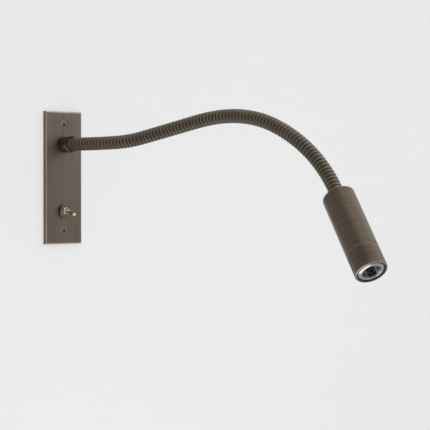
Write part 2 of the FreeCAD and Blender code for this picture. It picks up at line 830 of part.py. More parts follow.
def optics(head):
    outer = f"{RING_BORE} - loose_clearance"
    inner = f"{outer} - holder_wall"
    eye = "emitter_base / 2 + loose_clearance"
    holder = faceted(
        "lens_holder",
        [
            (HOLDER_REAR, eye),
            (HOLDER_REAR, outer),
            (LENS_FRONT, outer),
            (LENS_FRONT, inner),
            (f"{HOLDER_REAR} + holder_floor", inner),
            (f"{HOLDER_REAR} + holder_floor", eye),
        ],
    )
    keep(holder, "lens_holder", head)
    rim = f"{inner} - slip_clearance"
    foot = f"{LENS_FRONT} - lens_depth"
    waist = f"lens_foot / 2 * (1 - lens_waist_share) + ({rim}) * lens_waist_share"
    lens = faceted(
        "lens",
        [
            (f"{foot} + lens_cavity_depth", "0"),
            (f"{foot} + lens_cavity_depth", "lens_cavity / 2"),
            (foot, "lens_cavity / 2"),
            (foot, "lens_foot / 2"),
            (f"{foot} + lens_waist_height", waist),
            (f"{LENS_FRONT} - lens_rim", rim),
            (LENS_FRONT, rim),
            (LENS_FRONT, "lens_well / 2"),
            (f"{LENS_FRONT} - lens_well_depth", "lens_well / 2"),
            (f"{LENS_FRONT} - lens_well_depth", "0"),
        ],
    )
    keep(lens, "lens", head)


back_plate()
fixing_screws()
arm_root_fittings()
joint_centres, head_place = gooseneck()
lamp_cable(joint_centres, head_place)
switch_mounting()
switch_housing()
toggle_lever()
head_shell(head_place)
front_ring(head_place)
light_source(head_place)
optics(head_place)
document.recompute()

for item in document.Objects:
    if "Invalid" in item.State or "Error" in item.State:
        raise RuntimeError(f"{item.Label} could not be made: {item.State}")
for piece in pieces:
    if piece.Shape.isNull() or not piece.Shape.isValid():
        raise RuntimeError(f"{piece.Label} has no valid shape")

for piece in pieces:
    piece.Shape.exportStep(f"parts/{piece.Label}.step")
    print(f"{piece.Label}: {piece.Shape.Volume:.1f} mm3")
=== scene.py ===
import json
import math

import bmesh
import bpy
from mathutils import Matrix, Vector


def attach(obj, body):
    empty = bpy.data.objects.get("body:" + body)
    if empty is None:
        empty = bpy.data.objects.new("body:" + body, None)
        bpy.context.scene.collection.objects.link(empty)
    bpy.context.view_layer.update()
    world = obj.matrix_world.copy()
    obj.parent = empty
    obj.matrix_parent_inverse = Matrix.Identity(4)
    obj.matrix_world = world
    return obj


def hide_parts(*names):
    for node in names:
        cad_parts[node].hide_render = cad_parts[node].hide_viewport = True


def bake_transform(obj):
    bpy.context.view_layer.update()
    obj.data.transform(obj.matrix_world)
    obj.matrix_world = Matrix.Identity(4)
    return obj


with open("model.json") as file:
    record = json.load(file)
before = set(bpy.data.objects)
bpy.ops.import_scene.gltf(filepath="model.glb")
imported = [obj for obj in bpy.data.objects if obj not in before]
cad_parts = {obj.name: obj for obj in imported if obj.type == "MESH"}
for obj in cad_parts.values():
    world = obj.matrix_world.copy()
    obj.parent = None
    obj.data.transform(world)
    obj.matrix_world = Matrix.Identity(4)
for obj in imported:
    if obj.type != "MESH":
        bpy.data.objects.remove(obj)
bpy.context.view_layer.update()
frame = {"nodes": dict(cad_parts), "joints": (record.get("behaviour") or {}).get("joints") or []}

scene = bpy.context.scene

# Camera: a long lens, almost level, on the lamp's left. It looks at the plate and the head
# together, in a square frame.
lens = bpy.data.cameras.new("camera")
lens.sensor_width = 36
lens.lens = 122.17
lens.clip_start = 0.05
lens.clip_end = 30
camera = bpy.data.objects.new("camera", lens)
camera.location = (-0.77712, -1.08523, -0.01049)
camera.rotation_euler = (math.radians(88.997), math.radians(-0.058), math.radians(-41.609))
scene.collection.objects.link(camera)
scene.camera = camera
scene.view_settings.view_transform = "Standard"

# Studio: a pale painted wall that the lamp is fixed to, a pale floor well below it, and soft
# lamps. The wall is open from behind, so that the back of the plate can be looked at.
WALL_TONE = (0.815, 0.815, 0.815, 1)
FLOOR_TONE = (0.62, 0.62, 0.62, 1)
ROLLER_LIFT = 1.02
PLAIN_SHARE = 0.6
FLOOR_LEVEL = -0.55
STUDIO_REACH = 2.6


def painted(name, tone, open_behind):
    """Flat emulsion paint with a faint roller texture."""
    paint = bpy.data.materials.new(name)
    paint.use_nodes = True
    nodes, link = paint.node_tree.nodes, paint.node_tree.links.new
    surface = nodes["Principled BSDF"]
    surface.inputs["Roughness"].default_value = 0.9
    surface.inputs["Specular IOR Level"].default_value = 0.1
    where = nodes.new("ShaderNodeTexCoord")
    roller = nodes.new("ShaderNodeTexNoise")
    roller.inputs["Scale"].default_value = 3
    shade = nodes.new("ShaderNodeMix")
    shade.data_type = "RGBA"
    shade.inputs["A"].default_value = tone
    shade.inputs["B"].default_value = (*(channel * ROLLER_LIFT for channel in tone[:3]), 1)
    link(where.outputs["Object"], roller.inputs["Vector"])
    link(roller.outputs["Fac"], shade.inputs["Factor"])
    link(shade.outputs["Result"], surface.inputs["Base Color"])
    plain = nodes.new("ShaderNodeEmission")
    plain.inputs["Color"].default_value = tone
    ray = nodes.new("ShaderNodeLightPath")
    shown = nodes.new("ShaderNodeMath")
    shown.use_clamp = True
    any_ray = nodes.new("ShaderNodeMath")
    any_ray.use_clamp = True
    weight = nodes.new("ShaderNodeMath")
    weight.operation = "MULTIPLY"
    weight.inputs[1].default_value = PLAIN_SHARE
    backdrop = nodes.new("ShaderNodeMixShader")
    link(ray.outputs["Is Camera Ray"], shown.inputs[0])
    link(ray.outputs["Is Glossy Ray"], shown.inputs[1])
    link(shown.outputs["Value"], any_ray.inputs[0])
    link(ray.outputs["Is Transmission Ray"], any_ray.inputs[1])
    link(any_ray.outputs["Value"], weight.inputs[0])
    link(weight.outputs["Value"], backdrop.inputs["Fac"])
    link(surface.outputs["BSDF"], backdrop.inputs[1])
    link(plain.outputs["Emission"], backdrop.inputs[2])
    link(backdrop.outputs["Shader"], nodes["Material Output"].inputs["Surface"])
    if open_behind:
        side = nodes.new("ShaderNodeNewGeometry")
        clear = nodes.new("ShaderNodeBsdfTransparent")
        either = nodes.new("ShaderNodeMixShader")
        link(side.outputs["Backfacing"], either.inputs["Fac"])
        link(backdrop.outputs["Shader"], either.inputs[1])
        link(clear.outputs["BSDF"], either.inputs[2])
        link(either.outputs["Shader"], nodes["Material Output"].inputs["Surface"])
    return paint


def panel(name, place, paint):
    """A large flat panel of the studio."""
    form = bmesh.new()
    bmesh.ops.create_grid(form, x_segments=1, y_segments=1, size=STUDIO_REACH, matrix=place)
    sheet = bpy.data.meshes.new(name)
    form.to_mesh(sheet)
    form.free()
    sheet.materials.append(paint)
    board = bpy.data.objects.new(name, sheet)
    scene.collection.objects.link(board)


panel("wall", Matrix.Rotation(math.radians(90), 4, "X"), painted("wall_paint", WALL_TONE, True))
panel("floor", Matrix.Translation((0, 0, FLOOR_LEVEL)), painted("floor_paint", FLOOR_TONE, False))

sky = bpy.data.worlds.new("studio")
sky.use_nodes = True
scene.world = sky
nodes, link = sky.node_tree.nodes, sky.node_tree.links.new
ambient = nodes["Background"]
ambient.inputs["Color"].default_value = (1, 1, 1, 1)
pale = nodes.new("ShaderNodeBackground")
pale.inputs["Color"].default_value = (0.84, 0.84, 0.84, 1)
heading = nodes.new("ShaderNodeTexCoord")
parts = nodes.new("ShaderNodeSeparateXYZ")
brightness = nodes.new("ShaderNodeMapRange")
brightness.inputs["From Min"].default_value = -0.80
brightness.inputs["From Max"].default_value = -0.15
brightness.inputs["To Min"].default_value = 0.42
brightness.inputs["To Max"].default_value = 0.95
link(heading.outputs["Generated"], parts.inputs["Vector"])
link(parts.outputs["X"], brightness.inputs["Value"])
overhead = nodes.new("ShaderNodeVectorMath")
overhead.operation = "DOT_PRODUCT"
overhead.inputs[1].default_value = (0.5, -0.1, 0.86)
canopy = nodes.new("ShaderNodeMapRange")
canopy.inputs["From Min"].default_value = 0.45
canopy.inputs["From Max"].default_value = 0.85
canopy.inputs["To Max"].default_value = 0.75
together = nodes.new("ShaderNodeMath")
link(heading.outputs["Generated"], overhead.inputs[0])
link(overhead.outputs["Value"], canopy.inputs["Value"])
link(brightness.outputs["Result"], together.inputs[0])
link(canopy.outputs["Result"], together.inputs[1])
link(together.outputs["Value"], ambient.inputs["Strength"])
ray = nodes.new("ShaderNodeLightPath")
seen = nodes.new("ShaderNodeMixShader")
link(ray.outputs["Is Camera Ray"], seen.inputs["Fac"])
link(ambient.outputs["Background"], seen.inputs[1])
link(pale.outputs["Background"], seen.inputs[2])
link(seen.outputs["Shader"], nodes["World Output"].inputs["Surface"])

for name, place, aim_at, width, power in (
    ("key_softbox", (2.0, -2.2, 1.4), (0.02, -0.15, 0), 1.8, 8),
    ("low_softbox", (-0.02, -0.43, -0.45), (0.045, -0.345, -0.07), 0.34, 0.68),
    ("rear_softbox", (0.6, 1.3, 0.7), (0, 0, 0), 1.0, 9),
):
    glow = bpy.data.lights.new(name, "AREA")
    glow.shape = "SQUARE"
    glow.size = width
    glow.energy = power
    softbox = bpy.data.objects.new(name, glow)
    softbox.location = place
    softbox.rotation_euler = (Vector(aim_at) - Vector(place)).to_track_quat("-Z", "Y").to_euler()
    scene.collection.objects.link(softbox)

# Back plate: a flat steel bar 120 by 40 by 4 mm, chamfered round its front, drilled for the arm,
# the switch and two countersunk screws, brushed lengthways and plated antique bronze.
PLATE_WIDTH, PLATE_THICKNESS, PLATE_HEIGHT = 0.040, 0.004, 0.120
PLATE_CHAMFER = 0.001
SCREW_LEVEL = 0.048
ARM_LEVEL = 0.030
SWITCH_LEVEL = -0.030
ARM_HOLE, SWITCH_HOLE, SCREW_HOLE = 0.0051, 0.0031, 0.00225
COUNTERSINK, COUNTERSINK_START = 0.0044, 0.00185
PAST_FACE = 0.002
EDGE_ROUND = 0.00014
SHARP_ANGLE = math.radians(38)
FINE_SHARE = 0.45
MARK_HEIGHT = 0.00004
AT_WALL = Matrix.Identity(4)


def grain(nodes, link, place, stretch, detail):
    """Noise laid along a piece's own directions, with so many features a metre along each."""
    where = nodes.new("ShaderNodeTexCoord")
    settle = nodes.new("ShaderNodeMapping")
    settle.vector_type = "TEXTURE"
    settle.inputs["Location"].default_value = place.to_translation()
    settle.inputs["Rotation"].default_value = place.to_euler()
    spread = nodes.new("ShaderNodeMapping")
    spread.inputs["Scale"].default_value = stretch
    speckle = nodes.new("ShaderNodeTexNoise")
    speckle.inputs["Scale"].default_value = 1
    speckle.inputs["Detail"].default_value = detail
    link(where.outputs["Object"], settle.inputs["Vector"])
    link(settle.outputs["Vector"], spread.inputs["Vector"])
    link(spread.outputs["Vector"], speckle.inputs["Vector"])
    return speckle.outputs["Fac"]


def ranged(nodes, link, source, low, high):
    """A noise's middle spread over a range of values."""
    reach = nodes.new("ShaderNodeMapRange")
    reach.inputs["From Min"].default_value = 0.3
    reach.inputs["From Max"].default_value = 0.7
    reach.inputs["To Min"].default_value = low
    reach.inputs["To Max"].default_value = high
    link(source, reach.inputs["Value"])
    return reach.outputs["Result"]


def metal(name, place, fine, broad, dark, light, roughness, relief=0.15, metallic=0.9,
          lacquer=0.12):
    """A plated metal: fine tool marks, a slow drift of tone, and a thin clear lacquer."""
    finish = bpy.data.materials.new(name)
    finish.use_nodes = True
    nodes, link = finish.node_tree.nodes, finish.node_tree.links.new
    surface = nodes["Principled BSDF"]
    surface.inputs["Metallic"].default_value = metallic
    surface.inputs["Coat Weight"].default_value = lacquer
    surface.inputs["Coat Roughness"].default_value = 0.2
    marks = grain(nodes, link, place, fine, 3)
    drift = grain(nodes, link, place, broad, 4)
    both = nodes.new("ShaderNodeMath")
    both.operation = "MULTIPLY_ADD"
    both.inputs[1].default_value = FINE_SHARE
    link(marks, both.inputs[0])
    share = nodes.new("ShaderNodeMath")
    share.operation = "MULTIPLY"
    share.inputs[1].default_value = 1 - FINE_SHARE
    link(drift, share.inputs[0])
    link(share.outputs["Value"], both.inputs[2])
    tone = nodes.new("ShaderNodeMix")
    tone.data_type = "RGBA"
    tone.inputs["A"].default_value = (*dark, 1)
    tone.inputs["B"].default_value = (*light, 1)
    link(ranged(nodes, link, both.outputs["Value"], 0, 1), tone.inputs["Factor"])
    link(tone.outputs["Result"], surface.inputs["Base Color"])
    link(ranged(nodes, link, marks, *roughness), surface.inputs["Roughness"])
    bump = nodes.new("ShaderNodeBump")
    bump.inputs["Strength"].default_value = relief
    bump.inputs["Distance"].default_value = MARK_HEIGHT
    link(marks, bump.inputs["Height"])
    link(bump.outputs["Normal"], surface.inputs["Normal"])
    return finish


def piece_of(form, name, finishes):
    """An object made of a finished form, shaded smooth between its sharp edges."""
    skin = bpy.data.meshes.new(name)
    form.to_mesh(skin)
    form.free()
    for finish in finishes:
        skin.materials.append(finish)
    skin.shade_smooth()
    skin.set_sharp_from_angle(angle=SHARP_ANGLE)
    piece = bpy.data.objects.new(name, skin)
    scene.collection.objects.link(piece)
    return piece


def fit(form, name, body, slot, finishes, *stands_for):
    """Put a finished form on a body, in place of the solids that it stands for."""
    piece = piece_of(form, name, finishes)
    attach(piece, body)
    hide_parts(*stands_for)
    return piece


def soften(form, width, steps=2, sharper_than=30):
    """Round every sharp edge a little. The rounded strips take the second finish."""
    edges = [
        edge
        for edge in form.edges
        if len(edge.link_faces) == 2 and edge.calc_face_angle() > math.radians(sharper_than)
    ]
    rounded = bmesh.ops.bevel(
        form, geom=edges, offset=width, offset_type="OFFSET", segments=steps, profile=0.5,
        affect="EDGES", material=-1, clamp_overlap=True,
    )
    for face in rounded["faces"]:
        face.material_index = 1
    return form


def drilled(form, *drills):
    """The form with each drill's solid cut out of it."""
    blank = piece_of(form, "blank", [])
    for number, drill in enumerate(drills):
        tool = piece_of(drill, f"drill_{number}", [])
        cut = blank.modifiers.new(f"cut_{number}", "BOOLEAN")
        cut.solver = "EXACT"
        cut.operation = "DIFFERENCE"
        cut.object = tool
    bpy.context.view_layer.update()
    made = blank.evaluated_get(bpy.context.evaluated_depsgraph_get()).to_mesh()
    result = bmesh.new()
    result.from_mesh(made)
    blank.evaluated_get(bpy.context.evaluated_depsgraph_get()).to_mesh_clear()
    tools = [cut.object for cut in blank.modifiers]
    for leftover in [blank, *tools]:
        bpy.data.objects.remove(leftover)
    bmesh.ops.remove_doubles(result, verts=result.verts, dist=1e-6)
    return result


def turned(profile, place=AT_WALL, steps=72, closed=True):
    """A lathe form: a profile of radius and height, spun about its own Z and put in place."""
    form = bmesh.new()
    points = [form.verts.new((radius, 0, height)) for radius, height in profile]
    pairs = list(zip(points, points[1:] + points[:1]))
    if not closed:
        pairs = pairs[:-1]
    chain = [form.edges.new(pair) for pair in pairs]
    bmesh.ops.spin(
        form, geom=points + chain, cent=(0, 0, 0), axis=(0, 0, 1), dvec=(0, 0, 0),
        angle=math.tau, steps=steps, use_merge=True,
    )
    bmesh.ops.remove_doubles(form, verts=form.verts, dist=1e-7)
    bmesh.ops.recalc_face_normals(form, faces=form.faces)
    form.transform(place)
    return form


def cuboid(middle, sizes):
    """A rectangular block about its middle."""
    block = bmesh.new()
    bmesh.ops.create_cube(
        block, size=1, matrix=Matrix.Translation(middle) @ Matrix.Diagonal((*sizes, 1))
    )
    return block


def facing_out(level, length=0.0):
    """A place at a level of the plate, whose Z points out of the wall."""
    return Matrix.Translation((0, -length, level)) @ Matrix.Rotation(math.radians(90), 4, "X")


def bore(radius, level):
    """A straight drill that passes both faces of the plate."""
    return turned([(0, -PAST_FACE), (radius, -PAST_FACE), (radius, PLATE_THICKNESS + PAST_FACE),
                   (0, PLATE_THICKNESS + PAST_FACE)], facing_out(level))


def countersink(level):
    """A drill for a countersunk screw, widening to the plate's front face."""
    return turned([(0, -PAST_FACE), (SCREW_HOLE, -PAST_FACE), (SCREW_HOLE, COUNTERSINK_START),
                   (COUNTERSINK, PLATE_THICKNESS), (COUNTERSINK, PLATE_THICKNESS + PAST_FACE),
                   (0, PLATE_THICKNESS + PAST_FACE)], facing_out(level))


bronze_plate = metal("antique_bronze_brushed", AT_WALL, (3200, 900, 26), (620, 60, 6),
                     (0.094, 0.078, 0.061), (0.150, 0.126, 0.098), (0.42, 0.56))
# A lighter, brassier bronze for the chamfers and rounded edges: partly edge wear, partly a painted
# highlight where the edges catch the light.
bronze_wear_and_highlight = metal("antique_bronze_wear_and_highlight", AT_WALL, (900, 900, 300), (90, 90, 60),
                      (0.28, 0.223, 0.172), (0.39, 0.31, 0.24), (0.32, 0.44))

bar = cuboid((0, -PLATE_THICKNESS / 2, 0), (PLATE_WIDTH, PLATE_THICKNESS, PLATE_HEIGHT))
front_edges = [
    edge for edge in bar.edges if all(corner.co.y < -PLATE_THICKNESS * 0.9 for corner in edge.verts)
]
chamfered = bmesh.ops.bevel(bar, geom=front_edges, offset=PLATE_CHAMFER, offset_type="OFFSET",
                            segments=1, profile=0.5, affect="EDGES", material=-1)
# The chamfer strips, and below them the rounded edges, take the lighter bronze: partly edge wear,
# partly painted highlight.
for face in chamfered["faces"]:
    face.material_index = 1
soften(bar, EDGE_ROUND)
drills = [bore(ARM_HOLE, ARM_LEVEL), bore(SWITCH_HOLE, SWITCH_LEVEL),
          countersink(SCREW_LEVEL), countersink(-SCREW_LEVEL)]
fit(drilled(bar, *drills), "plate", "base", "antique_plate", [bronze_plate, bronze_wear_and_highlight],
    "back_plate")

# Fixing screws: two 4 mm countersunk wood screws, cold headed with a cross recess, their thread
# rolled. Their heads are plated to match the plate and sit just under its face.
bronze_screw = metal("antique_bronze_screw", AT_WALL, (700, 700, 700), (220, 220, 220),
                     (0.115, 0.090, 0.063), (0.185, 0.146, 0.102), (0.28, 0.42))
screw_steel = metal("screw_thread_steel", AT_WALL, (500, 2500, 500), (150, 150, 150),
                    (0.42, 0.37, 0.27), (0.55, 0.49, 0.37), (0.25, 0.4), metallic=1)
HEAD_FACE = PLATE_THICKNESS - 0.0003
SCREW_NECK = 0.0015
RECESS_LENGTH, RECESS_WIDTH, RECESS_DEPTH = 0.0044, 0.0010, 0.0034
SCREW_TIP, FIRST_CREST = -0.0299, -0.0262
CREST_PITCH, CREST_COUNT = 0.00162, 15
THREAD_ROOT, THREAD_CREST = 0.00135, 0.00198
for number, level in enumerate((SCREW_LEVEL, -SCREW_LEVEL), start=1):
    head = turned(
        [(0, -0.0006), (SCREW_NECK, -0.0006), (SCREW_NECK, HEAD_FACE - 0.0026),
         (0.0040, HEAD_FACE - 0.0002), (0.0041, HEAD_FACE), (0.0036, HEAD_FACE + 0.0001),
         (0.0, HEAD_FACE + 0.0001)],
        facing_out(level), steps=48, closed=False,
    )
    cross = [
        cuboid((0, -HEAD_FACE, level), (wide, RECESS_DEPTH, tall))
        for wide, tall in ((RECESS_LENGTH, RECESS_WIDTH), (RECESS_WIDTH, RECESS_LENGTH))
    ]
    fit(drilled(head, *cross), f"screw_head_{number}", "base", "antique_fitting", [bronze_screw],
        "fixing_screws")
    crests = [(0, SCREW_TIP)]
    for turn in range(CREST_COUNT):
        foot = FIRST_CREST + turn * CREST_PITCH
        crests += [(THREAD_ROOT, foot), (THREAD_CREST, foot + 0.0006)]
    crests += [(SCREW_NECK, -0.0012), (SCREW_NECK, -0.0004), (0, -0.0004)]
    fit(turned(crests, facing_out(level), steps=32, closed=False), f"screw_thread_{number}", "base",
        "antique_fitting", [screw_steel], "fixing_screws")

# Collar at the arm's root: turned from brass bar, bored to pass over the hose's brazed end, with
# a rounded front rim, and plated antique bronze darker than the plate.
bronze_collar = metal("antique_bronze_collar", facing_out(ARM_LEVEL), (60, 60, 2600), (90, 90, 160),
                      (0.078, 0.057, 0.038), (0.138, 0.101, 0.068), (0.34, 0.46))
# A brighter bronze for the collar's rounded front rim: a painted highlight.
bronze_rim_highlight = metal("antique_bronze_rim_highlight", AT_WALL, (700, 700, 700), (200, 200, 200),
                   (0.21, 0.162, 0.115), (0.31, 0.242, 0.172), (0.26, 0.36))
COLLAR_FRONT, COLLAR_SEAT = 0.0156, 0.0119
COLLAR_RADIUS, COLLAR_MOUTH, COLLAR_BORE = 0.00725, 0.0063, 0.00505
RIM_ROUND = 0.0006
collar = turned(
    [(COLLAR_BORE, PLATE_THICKNESS), (COLLAR_RADIUS, PLATE_THICKNESS),
     (COLLAR_RADIUS, COLLAR_FRONT), (COLLAR_MOUTH, COLLAR_FRONT), (COLLAR_MOUTH, COLLAR_SEAT),
     (COLLAR_BORE, COLLAR_SEAT)],
    facing_out(ARM_LEVEL), steps=96,
)
# The rounded front rim takes the brighter bronze: painted highlight.
fit(soften(collar, RIM_ROUND, 4), "collar", "base", "antique_fitting", [bronze_collar, bronze_rim_highlight],
    "arm_collar")

# Gooseneck: a hose of steel wire wound in rounded turns 3.53 mm apart, 12 mm across, plated
# antique bronze, with painted shade darkening the grooves between its turns. It keeps whatever bend
# it is put in.
RIB_PITCH = 0.00353
HOSE_RADIUS = 0.0060
GROOVE_DEPTH = 0.00085
# Painted shade: the colour that the grooves between the turns fall to.
GROOVE_SHADE_TONE = (0.028, 0.022, 0.016, 1)
CREST_FULLNESS = 0.7
HOSE_BORE = 0.0033
RIB_STEPS = 9
TURNS_BETWEEN_JOINTS = 8
HIDDEN_TURNS, TIP_TURNS = 1, 2
REACH = TURNS_BETWEEN_JOINTS * RIB_PITCH
TIP_RISE, TIP_SWING = math.radians(-48), math.radians(-17)
out_of_wall = Vector((0, -1, 0))
head_heading = Vector((math.sin(TIP_SWING) * math.cos(TIP_RISE),
                       -math.cos(TIP_SWING) * math.cos(TIP_RISE), math.sin(TIP_RISE)))
arm_hinges = [joint for joint in frame["joints"] if joint["name"].startswith("arm_")]
bends = [Vector(joint["pos_m"]) for joint in arm_hinges]
middles = [bends[0] - out_of_wall * REACH / 2]
middles += [(here + there) / 2 for here, there in zip(bends, bends[1:])]
middles += [bends[-1] + head_heading * REACH / 2]


def lie_along(form, number, lead):
    """Lay a straight form, which starts lead before a bend's first middle, along the arm."""
    first, bend, last = middles[number], bends[number], middles[number + 1]
    for corner in form.verts:
        along = corner.co.z - lead
        share = min(max(along / REACH, 0), 1)
        centre = first * (1 - share) ** 2 + bend * 2 * share * (1 - share) + last * share ** 2
        heading = ((bend - first) * (1 - share) + (last - bend) * share).normalized()
        centre += heading * (along - share * REACH)
        across = heading.cross(Vector((0, 0, 1))).normalized()
        up = across.cross(heading)
        corner.co = centre + across * corner.co.x + up * corner.co.y


def bend_with_arm(form, name, number, slot, finishes, *stands_for):
    """Make a piece of a form that lies along the arm at one of its bends, and hide the solids that
    it stands for.
    """
    piece = piece_of(form, name, finishes)
    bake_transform(piece)
    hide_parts(*stands_for)
    return piece


def wound_bronze():
    """The hose's plating, with painted shade: dark in the grooves where the turns meet."""
    finish = metal("antique_bronze_wound", AT_WALL, (1400, 1400, 1400), (55, 40, 55),
                   (0.104, 0.083, 0.060), (0.165, 0.132, 0.096), (0.30, 0.42), relief=0.1)
    nodes, link = finish.node_tree.nodes, finish.node_tree.links.new
    surface = nodes["Principled BSDF"]
    plating = surface.inputs["Base Color"].links[0].from_socket
    height = nodes.new("ShaderNodeAttribute")
    height.attribute_name = "rib_height"
    # Painted shade: the plating falls to the groove colour where the rib height is low.
    groove_shaded = nodes.new("ShaderNodeMix")
    groove_shaded.data_type = "RGBA"
    groove_shaded.inputs["A"].default_value = GROOVE_SHADE_TONE
    crest = nodes.new("ShaderNodeMapRange")
    crest.inputs["From Min"].default_value = 0.2
    link(height.outputs["Fac"], crest.inputs["Value"])
    link(crest.outputs["Result"], groove_shaded.inputs["Factor"])
    link(plating, groove_shaded.inputs["B"])
    link(groove_shaded.outputs["Result"], surface.inputs["Base Color"])
    return finish


bronze_hose = wound_bronze()
for number in range(len(arm_hinges)):
    is_first, is_last = number == 0, number == len(arm_hinges) - 1
    lead = HIDDEN_TURNS * RIB_PITCH if is_first else 0
    turns = TURNS_BETWEEN_JOINTS + HIDDEN_TURNS * is_first + TIP_TURNS * is_last
    outside = []
    for rib in range(turns):
        for step in range(RIB_STEPS):
            share = step / RIB_STEPS
            crown = math.sin(math.pi * share) ** CREST_FULLNESS
            outside.append((HOSE_RADIUS - GROOVE_DEPTH * (1 - crown), (rib + share) * RIB_PITCH))
    outside.append((HOSE_RADIUS - GROOVE_DEPTH, turns * RIB_PITCH))
    hose = turned(outside + [(HOSE_BORE, turns * RIB_PITCH), (HOSE_BORE, 0)], steps=56)
    heights = [
        min(max((math.hypot(corner.co.x, corner.co.y) - HOSE_RADIUS) / GROOVE_DEPTH + 1, 0), 1)
        for corner in hose.verts
    ]
    lie_along(hose, number, lead)
    nodes_here = ["arm_section_tip"] if is_last else [f"arm_section_{number + 1:02d}"]
    if is_first:
        nodes_here.append("arm_section_root")
    stretch = bend_with_arm(hose, f"hose_{number + 1:02d}", number, "antique_hose", [bronze_hose],
                            *nodes_here)
    heights_kept = stretch.data.attributes.new("rib_height", "FLOAT", "POINT")
    heights_kept.data.foreach_set("value", heights)

# Lamp cable: a thin round two-core lead in a black sheath. It runs inside the hose from the bush
# behind the plate to the light board, laid along the arm's bends.
CABLE_RADIUS = 0.0015
CABLE_STEPS = 10
CABLE_BEHIND_WALL, CABLE_IN_HEAD = 0.0099, 0.0625


def moulding(name, dark, light, roughness, speckle=900, relief=0.08):
    """A moulded plastic or rubber: even colour, a fine matt texture, faint flow marks."""
    return metal(name, AT_WALL, (speckle, speckle, speckle), (45, 45, 45), dark, light, roughness,
                 relief=relief, metallic=0, lacquer=0)


cable_sheath = moulding("cable_sheath", (0.012, 0.012, 0.013), (0.022, 0.022, 0.024), (0.5, 0.65))
for number in range(len(arm_hinges)):
    is_first, is_last = number == 0, number == len(arm_hinges) - 1
    lead = -middles[0].y + CABLE_BEHIND_WALL if is_first else 0
    ahead = REACH / 4 + CABLE_IN_HEAD if is_last else 0
    length = lead + REACH + ahead
    rings = 2 * CABLE_STEPS if is_first or is_last else CABLE_STEPS
    side = [(CABLE_RADIUS, length * step / rings) for step in range(rings + 1)]
    cable = turned([(0, 0)] + side + [(0, length)], steps=20, closed=False)
    lie_along(cable, number, lead)
    bend_with_arm(cable, f"cable_{number + 1:02d}", number, "cable_sheath", [cable_sheath],
                  "lamp_cable")

# Root fittings: the hose is brazed to a threaded brass nipple that goes through the plate. A lock
# washer and a hexagon nut draw it up, and a nylon bush in its end keeps the cable from its edge.
NIPPLE_RADIUS, NIPPLE_REAR, NIPPLE_FRONT = 0.005, -0.009, 0.01207
BRAZED_RADIUS, BRAZED_END = 0.0029, 0.01807
LEAD_HOLE, BUSH_SEAT = 0.0018, 0.0024
ROOT_WASHER = 0.0008
NUT_THICKNESS = 0.003
zinc = metal("zinc_plate", AT_WALL, (900, 900, 900), (260, 260, 260),
             (0.42, 0.42, 0.40), (0.60, 0.60, 0.58), (0.26, 0.42), metallic=1, lacquer=0)
zinc_edge = metal("zinc_plate_edge", AT_WALL, (900, 900, 900), (260, 260, 260),
                  (0.55, 0.55, 0.53), (0.70, 0.70, 0.68), (0.22, 0.34), metallic=1, lacquer=0)
nylon = moulding("nylon", (0.62, 0.60, 0.54), (0.70, 0.68, 0.62), (0.42, 0.55))


def thread(radius, start, end, pitch):
    """The crests and roots of a cut thread, as a lathe profile."""
    turns = round((end - start) / pitch)
    depth = pitch * 0.5
    profile = [(radius - depth, start)]
    for turn in range(turns):
        foot = start + turn * pitch
        profile += [(radius, foot + pitch * 0.42), (radius, foot + pitch * 0.58),
                    (radius - depth, foot + pitch)]
    return profile


def hexagon_nut(flats, thickness, hole, place):
    """A hexagon nut with chamfered corners, its hole bored through."""
    corner_reach = flats / 2 / math.cos(math.pi / 6)
    blank = bmesh.new()
    bmesh.ops.create_cone(blank, cap_ends=True, segments=6, depth=thickness,
                          radius1=corner_reach, radius2=corner_reach,
                          matrix=Matrix.Translation((0, 0, thickness / 2)))
    soften(blank, thickness * 0.08, 3, 20)
    drill = turned([(0, -thickness), (hole, -thickness), (hole, 2 * thickness), (0, 2 * thickness)],
                   steps=48)
    nut = drilled(blank, drill)
    nut.transform(place)
    return nut


def lock_washer(inner, outer, thickness, place, teeth=15):
    """A pressed washer with twisted teeth round its bore."""
    disc = turned([(inner, 0), (outer, 0), (outer, thickness), (inner, thickness)], steps=teeth * 6)
    for corner in disc.verts:
        reach = math.hypot(corner.co.x, corner.co.y)
        if reach < (inner + outer) / 2:
            turn = math.atan2(corner.co.y, corner.co.x) * teeth
            corner.co.z += math.sin(turn) * thickness * 0.05
            corner.co.xy *= 1 + 0.02 * math.cos(turn)
    soften(disc, thickness * 0.12, 2)
    disc.transform(place)
    return disc


root_nipple = turned(
    [(LEAD_HOLE, -0.003), (BUSH_SEAT, -0.003), (BUSH_SEAT, NIPPLE_REAR + 0.0002),
     (BUSH_SEAT + 0.0003, NIPPLE_REAR)]
    + thread(NIPPLE_RADIUS, NIPPLE_REAR, 0.0, 0.001)
    + [(NIPPLE_RADIUS, 0.0005), (NIPPLE_RADIUS, NIPPLE_FRONT), (BRAZED_RADIUS, NIPPLE_FRONT),
       (BRAZED_RADIUS, BRAZED_END), (LEAD_HOLE, BRAZED_END)],
    facing_out(ARM_LEVEL), steps=64,
)
fit(root_nipple, "root_nipple", "base", "zinc_steel", [zinc], "arm_root_nipple")
fit(lock_washer(0.0051, 0.0085, ROOT_WASHER, facing_out(ARM_LEVEL, -ROOT_WASHER)),
    "root_washer", "base", "zinc_steel", [zinc, zinc_edge], "arm_root_washer")
fit(hexagon_nut(0.014, NUT_THICKNESS, 0.00505,
                facing_out(ARM_LEVEL, -ROOT_WASHER - NUT_THICKNESS)),
    "root_nut", "base", "zinc_steel", [zinc, zinc_edge], "arm_root_nut")
bush = turned([(0.0016, NIPPLE_REAR - 0.001), (0.004, NIPPLE_REAR - 0.001), (0.004, NIPPLE_REAR),
               (0.00235, NIPPLE_REAR), (0.00235, -0.004), (0.0016, -0.004)],
              facing_out(ARM_LEVEL), steps=48)
fit(soften(bush, 0.0002, 3), "bush", "base", "bush_plastic", [nylon, nylon], "cable_bush")

